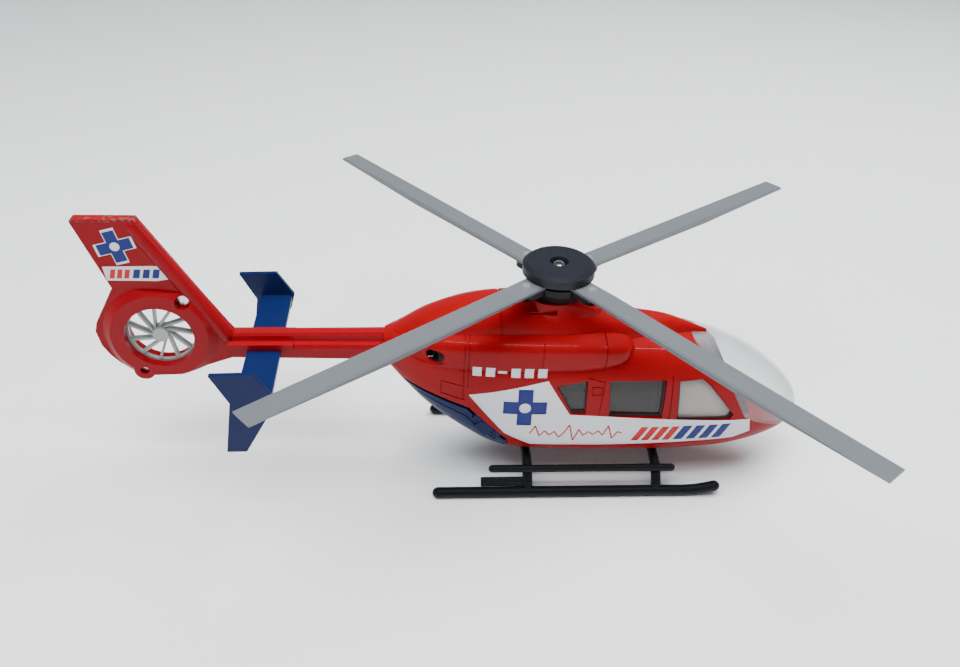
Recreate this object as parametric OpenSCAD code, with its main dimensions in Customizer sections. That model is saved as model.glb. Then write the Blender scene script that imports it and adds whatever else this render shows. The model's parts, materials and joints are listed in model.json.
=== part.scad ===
// Die-cast light rescue helicopter with a shrouded tail fan, 1:50 scale model.
// Stations along X are measured from the rotor mast; +X is the nose, +Z is up, the skids stand on Z = 0.

/* [Placing] */
// How far the rotor mast stands ahead of the origin
mast_x = 23.3; // [23:0.1:24]

/* [Fuselage] */
// Thickness of the die-cast wall
wall = 1.4; // [1.2:0.1:1.6]
// Height of the joint between the body and the belly tray
tray_z = 13; // [12.6:0.1:13.4]

/* [Main rotor] */
// Rotor radius, mast axis to blade tip
rotor_r = 101.8; // [96:0.1:106]
// Blade chord
blade_chord = 6.8; // [6:0.1:7]
// Blade thickness at mid span
blade_t = 1.9; // [1.4:0.1:2]
// Turn of the rotor about the mast as it is displayed
rotor_phase = -6.7; // [-20:0.1:20]
// Height of the top face of the blades
blade_top_z = 66.5; // [66:0.1:67]
// Radius of the hub cap
hub_r = 10.2; // [9.8:0.1:10.6]
// Radius of the mast pin
mast_pin_r = 1.5; // [1.4:0.05:1.6]

/* [Tail] */
// Half thickness of the fin
fin_half_t = 3.4; // [3.2:0.1:3.6]
// Distance of the tail fan's axis behind the mast
fan_back = 112.4; // [112:0.1:113]
// Height of the tail fan's axis
fan_z = 46.4; // [46:0.1:47]
// Radius of the duct
duct_r = 9.7; // [9.6:0.1:9.8]
// Number of fan blades
fan_blades = 11; // [9:1:12]
// Half span of the stabiliser, to the outside of its end plates
stab_half_span = 27; // [26:0.1:28]

/* [Landing gear] */
// Distance of each skid from the centre line
skid_y = 20; // [19:0.1:21]
// Radius of a skid tube
skid_r = 1.65; // [1.5:0.05:1.8]
// Station of the rear cross tube
rear_tube_x = -6.3; // [-7:0.1:-5]
// Station of the front cross tube
front_tube_x = 33; // [32:0.1:34]

/* [Fits] */
// Radial clearance of a pin in its hole
run_gap = 0.06; // [0.04:0.01:0.08]
// Gap between parts that move past each other
move_gap = 0.3; // [0.25:0.05:0.35]

/* [Hidden] */
$fn = 48;
eps = 0.01;

// Fuselage stations, nose last: x, half width, keel, widest height, roof, lower and upper fullness
pod_rows = [
    [-49, 4.5, 38.0, 43.2, 47.4, 2.2, 2.2],
    [-44, 6.6, 31.4, 41.4, 48.0, 2.3, 2.3],
    [-36, 10.0, 22.9, 36.8, 48.4, 2.4, 2.5],
    [-26, 13.2, 15.8, 32.0, 48.6, 2.6, 2.7],
    [-16, 15.0, 10.7, 28.0, 48.8, 2.9, 2.9],
    [-6, 15.6, 9.6, 26.0, 48.8, 3.2, 3.0],
    [10, 15.6, 9.2, 25.0, 48.8, 3.5, 3.0],
    [28, 15.6, 9.2, 24.5, 48.8, 3.5, 2.9],
    [42, 15.2, 9.2, 24.0, 47.4, 3.2, 2.6],
    [54, 14.2, 9.8, 22.5, 43.8, 2.9, 2.4],
    [64, 12.1, 11.4, 21.5, 38.6, 2.6, 2.2],
    [72, 8.9, 13.7, 21.0, 32.2, 2.4, 2.1],
    [76.6, 5.4, 16.3, 20.8, 26.7, 2.1, 2.0],
    [78.6, 1.4, 19.2, 20.6, 22.2, 2.0, 2.0]
];
// Cowling stations: x, half width, foot, widest height, top, lower and upper fullness
cowl_rows = [
    [-48, 3.0, 45.0, 46.0, 47.2, 2.0, 2.2],
    [-44, 4.8, 45.0, 46.5, 49.8, 2.0, 2.3],
    [-36, 7.6, 45.0, 47.0, 54.2, 2.0, 2.4],
    [-24, 9.2, 45.0, 47.5, 58.1, 2.0, 2.5],
    [-10, 9.6, 45.0, 47.5, 59.2, 2.0, 2.6],
    [4, 9.4, 45.0, 47.5, 57.6, 2.0, 2.6],
    [14, 8.2, 45.0, 47.0, 55.2, 2.0, 2.4],
    [24, 6.2, 44.6, 46.6, 53.4, 2.0, 2.3],
    [34, 4.2, 44.2, 46.0, 52.0, 2.0, 2.2],
    [46, 0.8, 43.0, 44.6, 47.4, 2.0, 2.0]
];
// Engine deck stations, in the same form: the two nacelles and the roof between them
deck_rows = [
    [-49, 4.3, 41.0, 44.0, 47.2, 2.2, 2.3],
    [-42, 7.8, 39.0, 44.4, 49.6, 2.4, 2.7],
    [-34, 11.0, 37.0, 44.6, 51.0, 2.4, 3.2],
    [-24, 13.2, 36.4, 44.8, 51.6, 2.4, 3.8],
    [-10, 14.4, 36.6, 45.0, 51.8, 2.4, 4.2],
    [6, 14.6, 37.6, 45.2, 51.6, 2.4, 4.2],
    [15, 14.2, 39.4, 45.4, 51.0, 2.3, 3.8],
    [20, 12.8, 41.6, 45.8, 50.0, 2.2, 3.2],
    [22.5, 9.6, 43.6, 46.2, 48.6, 2.0, 2.6]
];
pod_sides = 36;
deck_sides = 28;
cowl_sides = 24;

// Belly tray, floor and screws
tray_back = -12.5;
tray_side = [[tray_back, tray_z], [80, tray_z], [80, 0], [tray_back, 0]];
floor_z = tray_z + 0.2;
floor_t = 1.1;
screw_x = [2, 48];
screw_r = 0.9;
screw_head_r = 1.8;
screw_seat_z = 10.1;
boss_z = 11.2;

// Rear doors: their side edges run from door_top over door_mid down to door_low
door_top = [-43.5, 33.6];
door_mid = [-24.6, 28.8];
door_low = [tray_back, 17];
door_t = 1.2;
door_gap = 1;
door_side = [door_top, door_mid, door_low, [tray_back, 0], [-60, 0], [-60, door_top[1]]];
door_leaf = [for (p = door_side) [p[0] - door_gap * 0.6, p[1] - door_gap * 0.8]];
hinge_at = [-19.07, 13.75, 22.42];
hinge_dir = [0.716, 0.04, -0.698];
hinge_r = 0.4;
knuckle_r = 0.8;
knuckle_l = 5;
lug_l = 2.4;
lug_at = (knuckle_l + lug_l) / 2 + move_gap;
hinge_span = knuckle_l + 2 * lug_l + 4 * move_gap;
web_reach = 3;
web_t = 1;

// Engine exhausts, in the rear quarters
exhaust_r = 2.2;
exhaust_at = [-33.9, 9.4, 44.7];
exhaust_turn = 152;
canopy_t = 0.9;

// Rotor stack, from the fairing up to the cap
pedestal_foot_z = 47;
pedestal_r = [9.4, 7.3];
pedestal_nose_r = [7.8, 5.4];
pedestal_drop = 3.3;
pedestal_top = 59.8;
intake_at = [-4.2, 8, 57.6];
fairing_top_z = 62.9;
plate_t = 1.9;
plate_top_z = fairing_top_z + move_gap + plate_t;
cap_top_z = 70;
recess_depth = 1.5;
pin_foot_z = 49.2;
pin_seat_z = cap_top_z - recess_depth + move_gap;
peg_at = 12.6;
blade_root = 5.4;
tip_t = 0.8;
// How far each blade is swung on its peg, in degrees, and how far its tip stands up
blade_lag = [-2.7, -0.5, 1.7, -0.8];
blade_rise = [0.3, 0.1, 1.3, -2.8];
peg_r = 0.9;

// Tail: fin seen from the side, rivets as x, z, half depth and recess radius, and the stabiliser
fin_upper = [[-93, 47.8], [-114.4, 82.6], [-130.7, 82.6], [-131, 82], [-123.4, 61.5], [-110, 50]];
fin_shroud = [[-91.8, 46.4], [-101.4, 60], [-123.4, 61.8], [-129.6, 50.4], [-130.4, 47.4], [-129.5, 42.7],
    [-127.6, 39.3], [-125.1, 36.4], [-121.5, 34.2], [-115.4, 33.4], [-107.5, 33.7], [-100.6, 35.6], [-91.8, 38.8]];
fin_web = 1.5;
shroud_r = 16;
edge_foot = [-94.2, 0, 45.9];
edge_foot_r = 2.6;
edge_tip = [-115.3, 0, 80.2];
edge_tip_r = 2.2;
groove_half = 0.9;
groove_r = 10.8;
rivet_r = 0.8;
rivet_at = [[-104.8, 57.6, 1.0, 2.0], [-118.2, 35, 1.7, 1.3]];
boss_r = 3;
stab_z = 42;
stab_back = -88.2;
stab_chord = 9.6;
end_plate = [[-94.3, 50.5], [-82.8, 50.8], [-77.8, 43], [-79, 38.3], [-86.5, 24.5], [-92, 24.4], [-89.6, 41.4]];

// Landing gear: skid ends and bend, the bends of a cross tube as y and z, and the steps
skid_z = skid_r - 0.1;
skid_back = -33.3;
skid_bend = 41;
bend_r = 32;
bend_a = 18;
tube_sides = 16;
skid_path = concat(
    [for (a = [15, 45, 75]) [skid_back - skid_r * cos(a), 0, 0, skid_r * sin(a)]],
    [[skid_back, 0, 0, skid_r]],
    [for (a = [0:3:bend_a]) [skid_bend + bend_r * sin(a), 0, bend_r * (1 - cos(a)), skid_r]],
    [for (a = [75, 45, 15])
        let(reach = skid_r * cos(a))
        [skid_bend + bend_r * sin(bend_a) + reach * cos(bend_a), 0,
            bend_r * (1 - cos(bend_a)) + reach * sin(bend_a), skid_r * sin(a)]]);
leg_r = 1.5;
leg = [[0, 0, 9.2, leg_r], [0, 8.5, 9.2, leg_r], [0, 14.5, 8.2, leg_r], [0, 18.4, 4.6, leg_r],
    [0, skid_y, skid_z, leg_r]];
leg_half = smooth_rows(leg, 3);
leg_path = concat(
    [for (i = [len(leg_half) - 1:-1:1]) [0, -leg_half[i][1], leg_half[i][2], leg_r]], leg_half);
step_r = 1.15;
step_at = [17.2, 8.3];

// The canopy takes over ahead of this line, seen from the side
canopy_line = [[41, 60], [41, 47], [45.5, 43], [51.5, 36.5], [58, 24.5], [62, 22], [74, 16.8], [90, 15], [90, 60]];
// Side windows, seen from the side
rear_window = [[0.2, 37.4], [9.2, 38.9], [9.4, 27.6], [5.4, 27.6]];
mid_window = [[15.4, 38.8], [32.2, 38.8], [32.2, 26.0], [16.4, 26.4]];
front_window = [[35.8, 38.4], [43.2, 38.6], [46.4, 35.8], [54.2, 26.0], [53.2, 24.0], [36.8, 24.6]];

function boom_ring(x, k) = [for (p = [[0, 38.4], [2.8, 38.5], [4.2, 39.5], [4.5, 43.2], [3.9, 44.3], [2.4, 44.6],
    [2.1, 45.2], [2.0, 46.2], [1.4, 47.0], [0, 47.3]]) [x, p[0] * k, 44 + (p[1] - 44) * k]];
function blend_row(a, b, c, d, t) = 0.5 * (2 * b + (c - a) * t + (2 * a - 5 * b + 4 * c - d) * t * t
    + (3 * b - a - 3 * c + d) * t * t * t);
function smooth_rows(rows, k) = let(last = len(rows) - 1) concat(
    [for (i = [0:last - 1], j = [0:k - 1])
        blend_row(rows[max(i - 1, 0)], rows[i], rows[i + 1], rows[min(i + 2, last)], j / k)],
    [rows[last]]);
function oval(v, e) = sign(v) * pow(abs(v), 2 / e);
function oval_ring(r, inset, sides) = [for (i = [0:sides - 1])
    let(a = 360 * (i + 0.5) / sides, s = sin(a), e = s > 0 ? r[6] : r[5], h = (s > 0 ? r[4] - r[3] : r[3] - r[2]))
    [r[0], max(r[1] - inset, 0.2) * oval(cos(a), e), r[3] + max(h - inset, 0.2) * oval(s, e)]];
function ring_faces(rings, sides) = concat(
    [[for (i = [0:sides - 1]) i]],
    [for (r = [0:rings - 2], i = [0:sides - 1])
        let(j = (i + 1) % sides) [r * sides + i, (r + 1) * sides + i, (r + 1) * sides + j, r * sides + j]],
    [[for (i = [sides - 1:-1:0]) (rings - 1) * sides + i]]);

module place() {
    translate([mast_x, 0, 0]) children();
}
module side_cut(points, y0, y1) {
    translate([0, y1, 0]) rotate([90, 0, 0]) linear_extrude(y1 - y0) polygon(points);
}
module skin(rings) {
    sides = len(rings[0]);
    polyhedron(points = [for (r = rings) each r], faces = ring_faces(len(rings), sides), convexity = 6);
}
module pod(inset = 0) {
    skin([for (r = smooth_rows(pod_rows, 2)) oval_ring(r, inset, pod_sides)]);
}
module deck(inset = 0) {
    skin([for (r = smooth_rows(deck_rows, 2)) oval_ring(r, inset, deck_sides)]);
}
module cowl(inset = 0) {
    skin([for (r = smooth_rows(cowl_rows, 2)) oval_ring(r, inset, cowl_sides)]);
}
// Tube along a path that lies in the plane square to n; a path row is x, y, z, radius
module tube(path, n) {
    last = len(path) - 1;
    skin([for (i = [0:last])
        let(d = path[min(i + 1, last)] - path[max(i - 1, 0)], t = [d[0], d[1], d[2]] / norm([d[0], d[1], d[2]]),
            b = cross(t, n), c = [path[i][0], path[i][1], path[i][2]])
        [for (k = [0:tube_sides - 1])
            let(a = 360 * (k + 0.5) / tube_sides) c + path[i][3] * (cos(a) * n + sin(a) * b)]]);
}

module fuselage_shell() {
    color("firebrick") place() difference() {
        union() {
            pod();
            deck();
        }
        pod(wall);
        deck(wall);
        side_cut(canopy_line, -30, 30);
        side_cut(tray_side, -30, 30);
        side_cut(door_side, -30, 30);
        side_cut(rear_window, -30, 30);
        side_cut(mid_window, -30, 30);
        side_cut(front_window, -30, 30);
        translate([0, 0, 40]) cylinder(h = 20, r = mast_pin_r);
        for (s = [-1, 1]) exhaust_bore(s, exhaust_r, -3, 5);
        for (s = [-1, 1]) {
            hinge_frame(s) cylinder(h = hinge_span, r = knuckle_r + move_gap, center = true);
            lug_leaves(s);
        }
    }
}
module exhaust_bore(s, r, from, to) {
    translate([exhaust_at[0], s * exhaust_at[1], exhaust_at[2]]) rotate([0, 90, s * exhaust_turn])
        translate([0, 0, from]) cylinder(h = to - from, r = r);
}
module engine_cowling() {
    color("red") place() difference() {
        union() {
            cowl();
            pedestal(0);
        }
        cowl(wall);
        pedestal(wall);
        pod();
        deck();
        for (s = [-1, 1]) exhaust_bore(s, exhaust_r, -3, 5);
        for (s = [-1, 1]) translate([intake_at[0], s * intake_at[1], intake_at[2]]) cube([7.5, 3, 1.7], center = true);
        translate([0, 0, 40]) cylinder(h = 30, r = mast_pin_r);
    }
}
// Oval tower under the mast, sloping down to the nose
module pedestal(inset) {
    hull() {
        translate([-1, 0, pedestal_foot_z]) cylinder(h = pedestal_top - pedestal_foot_z - inset,
            r1 = pedestal_r[0] - inset, r2 = pedestal_r[1] - inset, $fn = 32);
        translate([8, 0, pedestal_foot_z]) cylinder(h = pedestal_top - pedestal_foot_z - pedestal_drop - inset,
            r1 = pedestal_nose_r[0] - inset, r2 = pedestal_nose_r[1] - inset, $fn = 32);
    }
}
module belly_tray() {
    color("firebrick") place() difference() {
        intersection() {
            pod();
            side_cut(tray_side, -30, 30);
        }
        pod(wall);
        for (x = screw_x) translate([x, 0, 0]) {
            cylinder(h = 20, r = screw_r);
            cylinder(h = screw_seat_z, r = screw_head_r + 0.1);
        }
        for (x = [rear_tube_x, front_tube_x]) tube_run(x);
    }
}
module belly_screws() {
    color("dimgray") place() for (x = screw_x) translate([x, 0, 0]) difference() {
        union() {
            translate([0, 0, screw_seat_z - 0.7]) cylinder(h = 0.7, r = screw_head_r);
            translate([0, 0, screw_seat_z - eps]) cylinder(h = floor_z + 1 - screw_seat_z, r = screw_r);
        }
        for (a = [0, 90]) rotate([0, 0, a]) translate([-1.2, -0.2, screw_seat_z - 1]) cube([2.4, 0.4, 0.7]);
    }
}
module canopy() {
    color("gainsboro", 0.4) place() difference() {
        intersection() {
            pod();
            side_cut(canopy_line, -30, 30);
        }
        pod(canopy_t);
    }
}
module window_band(s) {
    color("slategray", 0.6) place() difference() {
        pod(wall + 0.05);
        pod(wall + 0.75);
        side_cut(canopy_line, -30, 30);
        translate([-60, s > 0 ? -30 : -1, 0]) cube([160, 31, 60]);
        translate([-60, -30, 0]) cube([160, 60, 22.6]);
        translate([-60, -30, 41]) cube([160, 60, 30]);
        translate([-60, -30, 0]) cube([57, 60, 60]);
    }
}
module cabin_floor() {
    color("silver") place() difference() {
        union() {
            intersection() {
                pod(wall + 0.1);
                translate([-11, -30, floor_z]) cube([74, 60, floor_t]);
            }
            for (x = screw_x) translate([x, 0, boss_z]) cylinder(h = floor_z - boss_z + eps, r = 2.4);
        }
        for (x = screw_x) translate([x, 0, 0]) cylinder(h = floor_z + 1, r = screw_r);
    }
}
module pilot_seat(s) {
    color("gray") place() translate([38, s * 6.6, floor_z + floor_t]) difference() {
        union() {
            translate([-1, -4, 0]) cube([9, 8, 3.4]);
            hull() {
                translate([0.6, -3.6, 3]) rotate([90, 0, 90]) cylinder(h = 1.8, r = 0.4, $fn = 24);
                translate([0.6, 3.6, 3]) rotate([90, 0, 90]) cylinder(h = 1.8, r = 0.4, $fn = 24);
                translate([-2.6, -3, 15.4]) rotate([90, 0, 90]) cylinder(h = 1.6, r = 0.8, $fn = 24);
                translate([-2.6, 3, 15.4]) rotate([90, 0, 90]) cylinder(h = 1.6, r = 0.8, $fn = 24);
            }
            translate([-2.8, -1.8, 15]) cube([1.8, 3.6, 4.4]);
        }
        translate([2.6, -3.2, 2.8]) cube([6, 6.4, 1]);
    }
}
module instrument_console() {
    color("dimgray") place() translate([52, 0, floor_z + floor_t]) difference() {
        union() {
            translate([0, -2.2, 0]) cube([9, 4.4, 4]);
            translate([5, -7.5, 3]) cube([3, 15, 5.4]);
        }
        translate([4.6, -6.6, 4.2]) cube([0.7, 13.2, 3.2]);
    }
}
module cabin_bulkhead() {
    color("silver") place() intersection() {
        pod(wall + 0.1);
        translate([-12.2, -30, floor_z]) cube([1.1, 60, 33]);
    }
}
module rear_bench() {
    color("gray") place() translate([-10.9, 0, floor_z + floor_t]) {
        translate([0, -10.5, 0]) cube([7, 21, 4.2]);
        translate([0, -10.5, 4.2 - eps]) cube([2, 21, 11]);
    }
}
module exhaust(s) {
    color("dimgray") place() difference() {
        exhaust_bore(s, exhaust_r, -3, 0.4);
        exhaust_bore(s, exhaust_r - 0.7, -2, 2);
    }
}
module mast_fairing() {
    color("black") place() difference() {
        translate([0, 0, pedestal_top]) cylinder(h = fairing_top_z - pedestal_top, r1 = 6.8, r2 = 8.4);
        translate([0, 0, 40]) cylinder(h = 30, r = mast_pin_r);
    }
}
module mast_pin() {
    color("silver") place() {
        translate([0, 0, pin_foot_z]) cylinder(h = pin_seat_z - pin_foot_z + eps, r = mast_pin_r);
        translate([0, 0, pin_foot_z - 0.8]) cylinder(h = 0.8 + eps, r = 2.8);
        translate([0, 0, pin_seat_z]) intersection() {
            translate([0, 0, -1.4]) sphere(r = 2.6);
            cylinder(h = 3, r = 2.2);
        }
    }
}
module at_rotor(i) {
    rotate([0, 0, rotor_phase + 45 + 90 * (i - 1)]) children();
}
module rotor_bore() {
    translate([0, 0, 60]) cylinder(h = 12, r = mast_pin_r + run_gap);
}
module hub_plate() {
    color("black") place() difference() {
        union() {
            translate([0, 0, fairing_top_z + move_gap]) cylinder(h = plate_t, r = 8.8);
            for (i = [1:4]) at_rotor(i) translate([0, 0, fairing_top_z + move_gap]) {
                translate([0, -2.9, 0]) cube([peg_at, 5.8, plate_t]);
                translate([peg_at, 0, 0]) cylinder(h = plate_t, r = 2.9);
            }
        }
        rotor_bore();
    }
}
module hub_cap() {
    color("darkslategray") place() difference() {
        union() {
            translate([0, 0, blade_top_z + 0.1]) cylinder(h = cap_top_z - blade_top_z - 1.1, r = hub_r);
            translate([0, 0, cap_top_z - 1 - eps]) cylinder(h = 1 + eps, r1 = hub_r, r2 = hub_r - 1.2);
            translate([0, 0, plate_top_z]) cylinder(h = 2, r = 4.6);
        }
        translate([0, 0, cap_top_z - recess_depth]) cylinder(h = 3, r = 2.7);
        rotor_bore();
    }
}
module blade_pegs() {
    color("silver") place() for (i = [1:4]) at_rotor(i) translate([peg_at, 0, plate_top_z]) {
        cylinder(h = blade_top_z - plate_top_z + 0.3, r = peg_r);
        translate([0, 0, blade_top_z - plate_top_z]) cylinder(h = 0.6, r1 = 1.5, r2 = 1);
    }
}
module blade_end(top, t) {
    w = blade_chord / 2;
    translate([0, 0, top]) rotate([90, 0, 90]) linear_extrude(0.5) polygon([
        [-w + 0.5, 0], [-w, -0.4], [-w + 0.3, -t], [w - 0.3, -t], [w, -0.4], [w - 0.5, 0]]);
}
module blade(i) {
    root_t = blade_top_z - plate_top_z;
    reach = rotor_r - peg_at - 0.5;
    mid = reach * 0.55;
    color("darkgray") place() at_rotor(i) translate([peg_at, 0, 0]) rotate([0, 0, blade_lag[i - 1]]) difference() {
        union() {
            hull() {
                translate([blade_root - peg_at, 0, 0]) blade_end(blade_top_z, root_t);
                translate([5, 0, 0]) blade_end(blade_top_z, root_t);
            }
            hull() {
                translate([5, 0, 0]) blade_end(blade_top_z, root_t);
                translate([mid, 0, 0]) blade_end(blade_top_z + blade_rise[i - 1] * mid / reach, blade_t);
            }
            hull() {
                translate([mid, 0, 0]) blade_end(blade_top_z + blade_rise[i - 1] * mid / reach, blade_t);
                translate([reach, 0, 0]) blade_end(blade_top_z + blade_rise[i - 1], tip_t);
            }
        }
        translate([0, 0, plate_top_z - 1]) cylinder(h = root_t + 3, r = peg_r);
    }
}
module tail_half(s) {
    color("firebrick") place() difference() {
        mirror([0, s > 0 ? 0 : 1, 0]) union() {
            side_cut(fin_upper, 0, fin_web);
            side_cut(fin_shroud, 0, fin_web);
            intersection() {
                side_cut(fin_shroud, 0, fin_half_t);
                translate([-fan_back, 0, fan_z]) rotate([-90, 0, 0]) {
                    cylinder(h = fin_web, r = shroud_r);
                    translate([0, 0, fin_web - eps])
                        cylinder(h = fin_half_t - fin_web + eps, r1 = shroud_r, r2 = shroud_r - 2.4);
                }
            }
            translate([rivet_at[1][0], fin_half_t, rivet_at[1][1]]) rotate([90, 0, 0])
                cylinder(h = fin_half_t, r = boss_r);
            intersection() {
                hull() {
                    translate(edge_foot) sphere(r = edge_foot_r, $fn = 32);
                    translate(edge_tip) sphere(r = edge_tip_r, $fn = 32);
                }
                translate([-150, 0, 0]) cube([80, 10, 100]);
            }
            skin([boom_ring(-92.5, 0.9), boom_ring(-49, 1)]);
            translate([-50, 0, 41.6]) cube([10, 2, 2.4]);
            translate([-93.6, 2.5, stab_z + 1]) cube([18.6, 2.2, 1.7]);
        }
        translate([-fan_back, 0, fan_z]) rotate([90, 0, 0]) {
            cylinder(h = 20, r = duct_r, center = true);
            cylinder(h = 2 * groove_half, r = groove_r, center = true);
        }
        translate([stab_back, -10, stab_z - 0.75]) cube([stab_chord, 20, 1.5]);
        for (p = rivet_at) translate([p[0], 0, p[1]]) rotate([90, 0, 0]) {
            cylinder(h = 30, r = rivet_r, center = true);
            for (side = [-1, 1]) translate([0, 0, side * (p[2] + 2)]) cylinder(h = 4, r = p[3], center = true);
        }
    }
}
module tail_rivets() {
    color("silver") place() for (p = rivet_at) translate([p[0], 0, p[1]]) rotate([90, 0, 0]) {
        cylinder(h = 2 * p[2], r = rivet_r, center = true);
        for (side = [-1, 1]) translate([0, 0, side * (p[2] + 0.25)]) cylinder(h = 0.5, r = p[3] - 0.3, center = true);
    }
}
module stabiliser() {
    color("navy") place() {
        translate([stab_back, -stab_half_span + 0.6, stab_z - 0.7])
            cube([stab_chord, 2 * stab_half_span - 1.2, 1.4]);
        for (s = [-1, 1]) side_cut(end_plate, s * stab_half_span - (s > 0 ? 1.3 : 0), s * stab_half_span + (s > 0 ? 0 : 1.3));
    }
}
module tail_fan() {
    color("gray") place() translate([-fan_back, 0, fan_z]) rotate([90, 0, 0]) {
        cylinder(h = 4, r = 2.2, center = true);
        for (i = [0:fan_blades - 1]) rotate([0, 0, i * 360 / fan_blades])
            translate([1.5, 1, -0.9]) rotate([0, 0, -12]) cube([8.2, 0.7, 1.8]);
        difference() {
            cylinder(h = 1.2, r = groove_r - move_gap, center = true);
            cylinder(h = 3, r = duct_r - 0.5, center = true);
        }
    }
}
module skid(s) {
    color("black") place() difference() {
        translate([0, s * skid_y, skid_z]) tube(skid_path, [0, 1, 0]);
        translate([-60, -40, -5]) cube([160, 80, 5]);
    }
}
module tube_run(x) {
    translate([x, 0, 0]) tube(leg_path, [-1, 0, 0]);
}
module skid_space() {
    for (s = [-1, 1]) translate([-60, s * skid_y, skid_z]) rotate([0, 90, 0]) cylinder(h = 160, r = skid_r + 0.02);
}
module cross_tube(x) {
    color("black") place() difference() {
        tube_run(x);
        skid_space();
        for (s = [-1, 1]) step_line(s, -30, 60, step_r);
    }
}
module step_line(s, x0, x1, r) {
    translate([x0, s * step_at[0], step_at[1]]) rotate([0, 90, 0]) cylinder(h = x1 - x0, r = r);
}
module step_tube(s) {
    color("black") place() {
        step_line(s, -17, 37.4, step_r);
        translate([-17, s * step_at[0], step_at[1]]) sphere(r = step_r);
        translate([37.4, s * step_at[0], step_at[1]]) sphere(r = step_r);
    }
}
module rear_step(s) {
    color("black") place() difference() {
        translate([-20.4, 0, 0]) {
            translate([0, s * 18.3, 5]) rotate([0, 90, 0]) cylinder(h = 14.1, r = 0.8);
            translate([0, s * 18.9, 3.9]) rotate([0, 90, 0]) cylinder(h = 14.1, r = 0.8);
        }
        tube_run(rear_tube_x);
    }
}
module hinge_frame(s) {
    translate([hinge_at[0], s * hinge_at[1], hinge_at[2]])
        rotate([0, acos(hinge_dir[2] / norm(hinge_dir)), atan2(s * hinge_dir[1], hinge_dir[0])]) children();
}
// Leaf from a knuckle down to the door (side 1) or up to the body (side -1)
module hinge_leaf(s, side, l) {
    translate([side > 0 ? 0 : -web_reach, s > 0 ? 0.3 - web_t : -0.3, -l / 2]) cube([web_reach, web_t, l]);
}
module lug_leaves(s) {
    hinge_frame(s) for (k = [-1, 1]) translate([0, 0, k * lug_at]) hinge_leaf(s, -1, lug_l);
}
module rear_door(s) {
    color("mediumblue") place() {
        difference() {
            intersection() {
                pod();
                side_cut(door_leaf, -30, 30);
                translate([-80, s > 0 ? 0.15 : -30.15, 0]) cube([100, 30, 60]);
            }
            pod(door_t);
            hinge_frame(s) cylinder(h = hinge_span, r = knuckle_r + move_gap, center = true);
        }
        hinge_frame(s) difference() {
            union() {
                cylinder(h = knuckle_l, r = knuckle_r, center = true);
                hinge_leaf(s, 1, knuckle_l);
            }
            cylinder(h = 2 * knuckle_l, r = hinge_r + run_gap, center = true);
        }
    }
}
module door_hinges(s) {
    color("dimgray") place() {
        lug_leaves(s);
        hinge_frame(s) {
            cylinder(h = hinge_span - 2 * move_gap, r = hinge_r, center = true);
            for (k = [-1, 1]) translate([0, 0, k * lug_at]) cylinder(h = lug_l, r = knuckle_r, center = true);
        }
    }
}

fuselage_shell();
engine_cowling();
belly_tray();
belly_screws();
canopy();
window_band(1);  // window_band_left
window_band(-1);  // window_band_right
cabin_floor();
pilot_seat(1);  // pilot_seat_left
pilot_seat(-1);  // pilot_seat_right
instrument_console();
cabin_bulkhead();
rear_bench();
exhaust(1);  // exhaust_left
exhaust(-1);  // exhaust_right
mast_fairing();
mast_pin();
hub_plate();
hub_cap();
blade_pegs();
blade(1);  // blade_1
blade(2);  // blade_2
blade(3);  // blade_3
blade(4);  // blade_4
tail_half(1);  // tail_half_left
tail_half(-1);  // tail_half_right
tail_rivets();
stabiliser();
tail_fan();
skid(1);  // skid_left
skid(-1);  // skid_right
cross_tube(front_tube_x);  // cross_tube_front
cross_tube(rear_tube_x);  // cross_tube_rear
step_tube(1);  // step_tube_left
step_tube(-1);  // step_tube_right
rear_step(1);  // rear_step_left
rear_step(-1);  // rear_step_right
rear_door(1);  // rear_door_left
rear_door(-1);  // rear_door_right
door_hinges(1);  // door_hinges_left
door_hinges(-1);  // door_hinges_right
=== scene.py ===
"""Die-cast scale model of a light rescue helicopter on a pale table top.

Metres, or millimetres from the mast where world_point takes them. +X to the nose, +Z up.
"""

import json
import math

import bmesh
import bpy
from mathutils import Matrix, Vector


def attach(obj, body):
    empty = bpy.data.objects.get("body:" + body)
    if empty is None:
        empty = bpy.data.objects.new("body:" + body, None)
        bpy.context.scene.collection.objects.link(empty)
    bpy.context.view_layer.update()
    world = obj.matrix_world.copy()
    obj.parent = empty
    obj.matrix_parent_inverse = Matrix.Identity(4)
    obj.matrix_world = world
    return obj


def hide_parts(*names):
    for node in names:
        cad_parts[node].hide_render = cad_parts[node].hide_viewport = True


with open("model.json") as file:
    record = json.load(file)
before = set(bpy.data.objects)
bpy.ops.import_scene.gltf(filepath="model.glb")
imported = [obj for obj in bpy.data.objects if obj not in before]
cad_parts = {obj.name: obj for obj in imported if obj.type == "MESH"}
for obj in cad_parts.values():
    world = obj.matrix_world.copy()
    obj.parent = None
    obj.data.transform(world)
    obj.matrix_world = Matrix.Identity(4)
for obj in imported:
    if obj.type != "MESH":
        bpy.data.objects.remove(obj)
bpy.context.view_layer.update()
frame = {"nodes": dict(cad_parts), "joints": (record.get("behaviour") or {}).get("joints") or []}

# ---- Camera
# Seen from the model's right side and from above, at the distance of a hand-held camera;
# its place is measured from the rotor's mast.
mast = Vector(next(j for j in frame["joints"] if j["name"] == "rotor_spin")["pos_m"])
right = Vector((0.998061, -0.051878, 0.034395))
up = Vector((-0.000331, 0.548153, 0.836378))
camera = bpy.data.objects.new("camera", bpy.data.cameras.new("camera"))
camera.matrix_world = Matrix.Translation((mast.x - 0.04209, -0.21902, 0.19374)) @ Matrix(
    (right, up, right.cross(up))).transposed().to_4x4()
camera.data.lens = 33.97
camera.data.shift_x = 0.01567
camera.data.shift_y = -0.01368
camera.data.clip_start = 0.01
bpy.context.collection.objects.link(camera)
bpy.context.scene.camera = camera


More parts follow.
